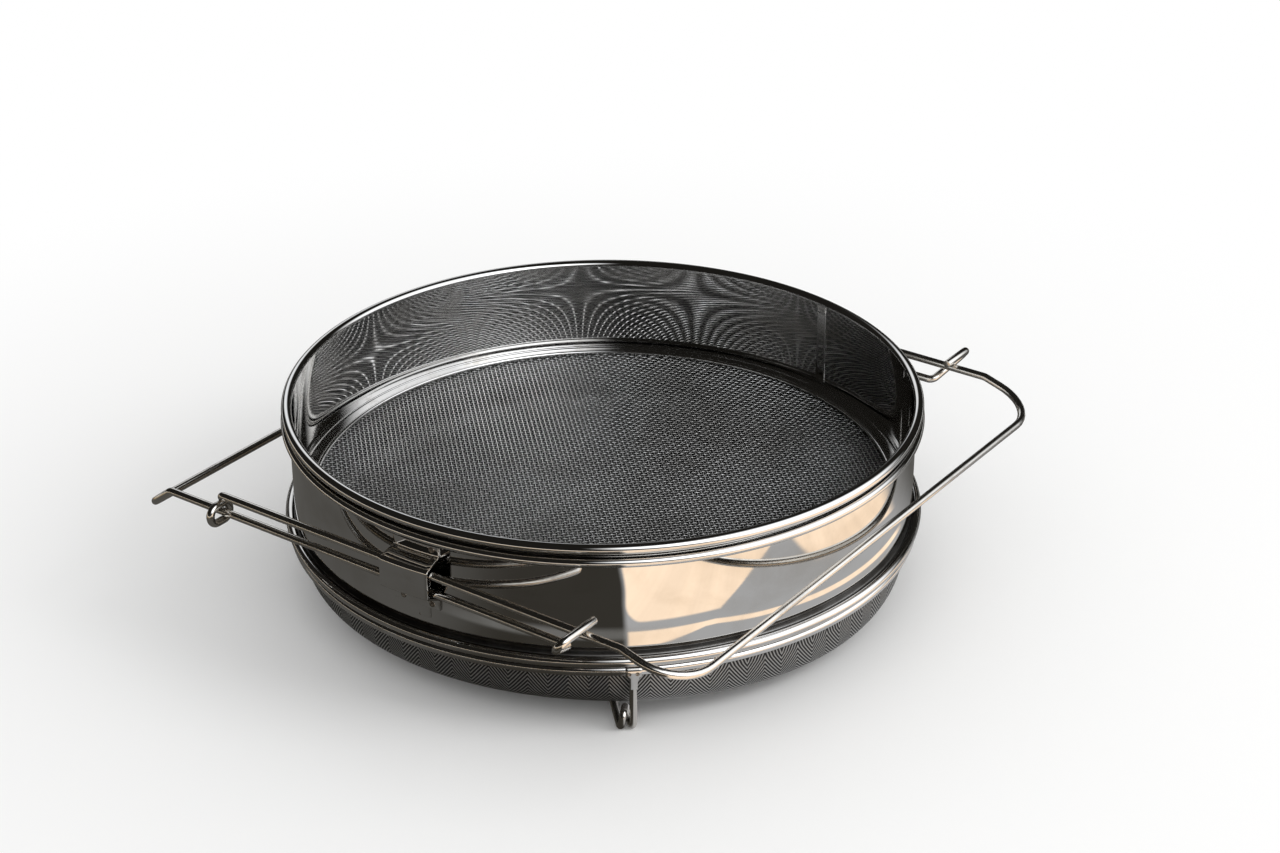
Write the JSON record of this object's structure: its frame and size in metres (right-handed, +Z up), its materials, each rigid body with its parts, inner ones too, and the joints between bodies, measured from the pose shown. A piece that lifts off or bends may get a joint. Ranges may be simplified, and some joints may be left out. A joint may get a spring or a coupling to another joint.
{
  "type": "double sieve strainer",
  "caption": "Round double strainer for honey: a flat coarse sieve lifts out of a dished fine sieve, with sliding wire arms to span a bucket and coiled wire feet.",
  "frame": {"origin": "on the sieve's axis, at the floor under the feet", "axes": "+Z up along the sieve's axis; +X the way the right arm slides out; front clip on the -Y side"},
  "size_m": [0.243, 0.2722, 0.0741],
  "materials": {
    "polished_steel": "mirror polish",
    "steel_wire": "bright drawn wire",
    "steel_cloth": "woven wire cloth"
  },
  "bodies": {
    "outer_sieve": {"outer_wall": "polished_steel", "outer_rim_wire": "steel_wire", "base_wire": "steel_wire", "mesh_hoop": "polished_steel", "hem_wire": "steel_wire", "fine_mesh": "steel_cloth", "front_clip": "polished_steel", "rear_clip": "polished_steel", "foot_front": "steel_wire", "foot_right": "steel_wire", "foot_left": "steel_wire", "strap_front": "polished_steel", "strap_right": "polished_steel", "strap_left": "polished_steel"},
    "upper_sieve": {"upper_wall": "polished_steel", "upper_rim_wire": "steel_wire", "coarse_mesh": "steel_cloth", "clamp_ring": "polished_steel"},
    "arm_right": {"right_arm": "steel_wire"},
    "arm_left": {"left_arm": "steel_wire"}
  },
  "joints": [
    {"name": "upper_lift", "type": "slide", "parent": "outer_sieve", "child": "upper_sieve", "axis": [0, 0, 1], "range_m": [0, 0.05]},
    {"name": "right_arm_slide", "type": "slide", "parent": "outer_sieve", "child": "arm_right", "axis": [1, 0, 0], "range_m": [0, 0.06]},
    {"name": "left_arm_slide", "type": "slide", "parent": "outer_sieve", "child": "arm_left", "axis": [-1, 0, 0], "range_m": [0, 0.05]}
  ]
}
